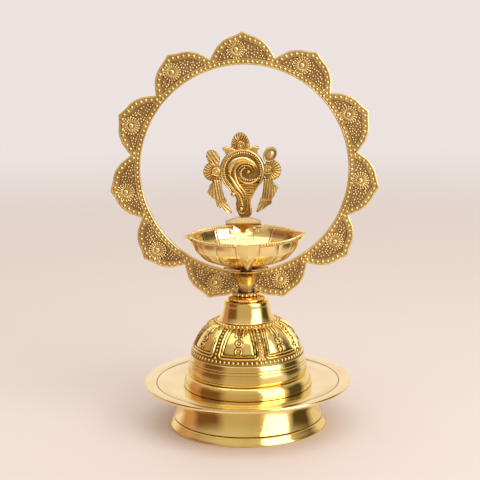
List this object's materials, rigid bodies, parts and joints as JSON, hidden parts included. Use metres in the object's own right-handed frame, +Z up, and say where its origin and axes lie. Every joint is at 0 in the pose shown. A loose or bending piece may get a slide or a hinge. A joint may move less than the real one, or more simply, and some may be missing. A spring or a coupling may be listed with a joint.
{
  "type": "brass diya",
  "caption": "Table oil lamp: turned base with drip plate and dome, stem cup, scalloped halo ring, swivelling spouted bowl with a conch finial.",
  "frame": {"origin": "middle of the foot's underside, on the surface that the lamp stands on", "axes": "+Z up along the lamp's axis, +X across the halo plate, -Y towards the viewer; the halo lies in the XZ plane and the finial stands on the +Y side"},
  "size_m": [0.1372, 0.1076, 0.2032],
  "materials": {
    "polished_brass": "polished yellow brass with fine turning marks",
    "bowl_brass": "bright burnished pale brass",
    "antique_brass": "cast brass, bright on the raised work and dark in the recesses",
    "plain_brass": "plain turned brass, unpolished"
  },
  "bodies": {
    "base": {"foot": "polished_brass", "drip_plate": "polished_brass", "hub": "polished_brass", "dome": "polished_brass", "neck": "polished_brass", "tie_rod": "plain_brass", "base_washer": "plain_brass", "base_nut": "plain_brass"},
    "upper": {"seat_collar": "polished_brass", "bead_ring": "antique_brass", "cup_stem": "polished_brass", "halo_plate": "antique_brass", "bowl_spacer": "plain_brass", "bowl_screw": "plain_brass"},
    "bowl": {"bowl": "bowl_brass", "rim_rope_1": "bowl_brass", "rim_rope_2": "bowl_brass", "rim_rope_3": "bowl_brass", "rim_rope_4": "bowl_brass", "finial_foot": "antique_brass", "finial_rivet_left": "bowl_brass", "finial_rivet_right": "bowl_brass", "conch_finial": "antique_brass"}
  },
  "joints": [
    {"name": "upper_turn", "type": "hinge", "parent": "base", "child": "upper", "pos_m": [0, 0, 0.0663], "axis": [0, 0, 1], "continuous": true},
    {"name": "bowl_turn", "type": "hinge", "parent": "upper", "child": "bowl", "pos_m": [0, 0, 0.0856], "axis": [0, 0, 1], "continuous": true}
  ]
}
